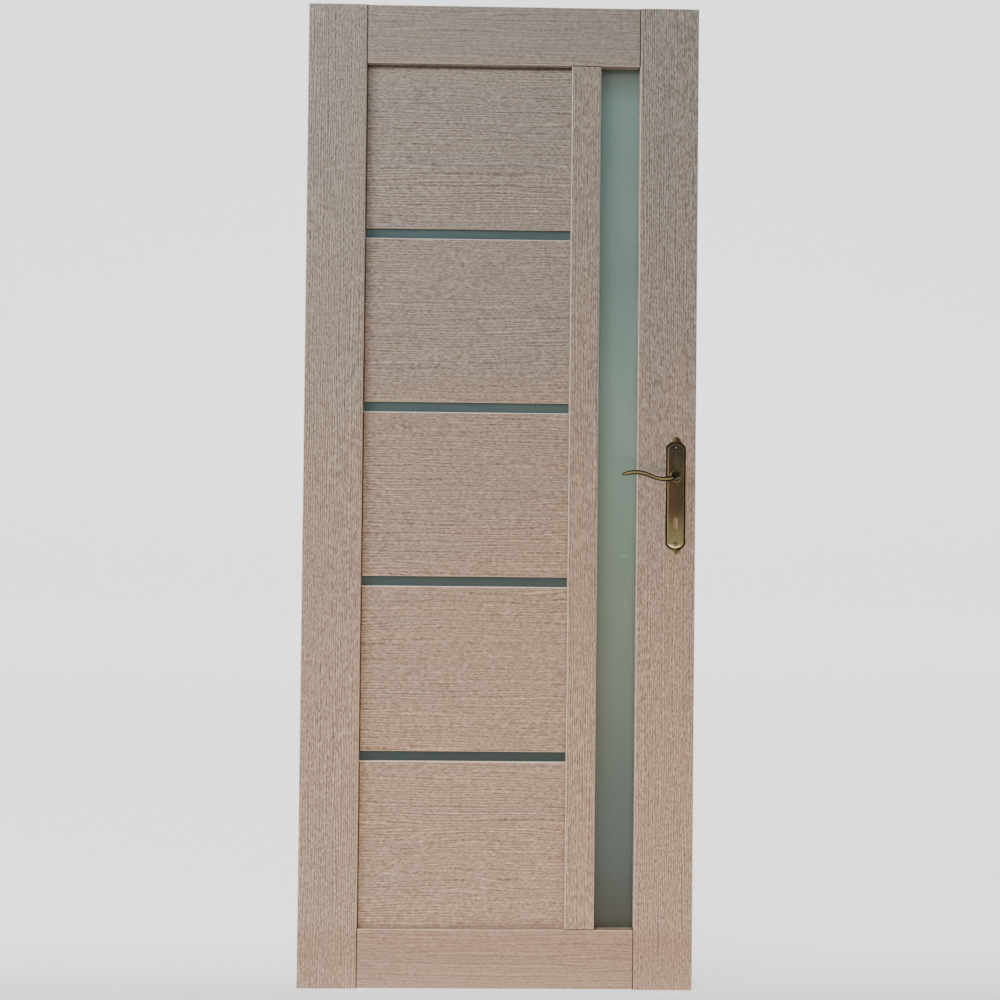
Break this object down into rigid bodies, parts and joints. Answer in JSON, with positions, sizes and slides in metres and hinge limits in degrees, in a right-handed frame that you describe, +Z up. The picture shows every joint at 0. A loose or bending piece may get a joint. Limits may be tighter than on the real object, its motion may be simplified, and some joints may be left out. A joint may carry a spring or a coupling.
{
  "type": "glazed interior door leaf",
  "caption": "Interior door leaf with grained frame, recessed panels parted by narrow glass strips, a tall satin pane beside the lock stile and a sprung lever handle on both faces.",
  "frame": {"origin": "On the hinge edge, at the foot of the leaf and in the middle of its thickness.", "axes": "X from the hinge edge to the lock edge, Y from the front face to the back face, Z up."},
  "size_m": [0.8, 0.1438, 2],
  "materials": {
    "frame_foil": "embossed bleached-oak foil",
    "panel_foil": "embossed bleached-oak foil",
    "strip_glass": "dark satin",
    "satin_glass": "satin etched",
    "antique_brass": "antiqued, worn on the edges",
    "latch_steel": "brushed"
  },
  "bodies": {
    "leaf": {"hinge_stile": "frame_foil", "lock_stile": "frame_foil", "top_rail": "frame_foil", "bottom_rail": "frame_foil", "mullion": "frame_foil", "panel_1": "panel_foil", "panel_2": "panel_foil", "panel_3": "panel_foil", "panel_4": "panel_foil", "panel_5": "panel_foil", "glass_strip_1": "strip_glass", "glass_strip_2": "strip_glass", "glass_strip_3": "strip_glass", "glass_strip_4": "strip_glass", "side_glass": "satin_glass", "front_plate": "antique_brass", "back_plate": "antique_brass", "latch_case": "latch_steel", "latch_faceplate": "latch_steel", "latch_bolt": "latch_steel"},
    "lever_set": {"front_lever": "antique_brass", "back_lever": "antique_brass", "spindle": "latch_steel"}
  },
  "joints": [
    {"name": "lever_turn", "type": "hinge", "parent": "leaf", "child": "lever_set", "pos_m": [0.7585, 0, 1.041], "axis": [0, -1, 0], "range_deg": [0, 45], "stiffness_Nm_per_rad": 0.8, "springref_deg": -28.65}
  ]
}
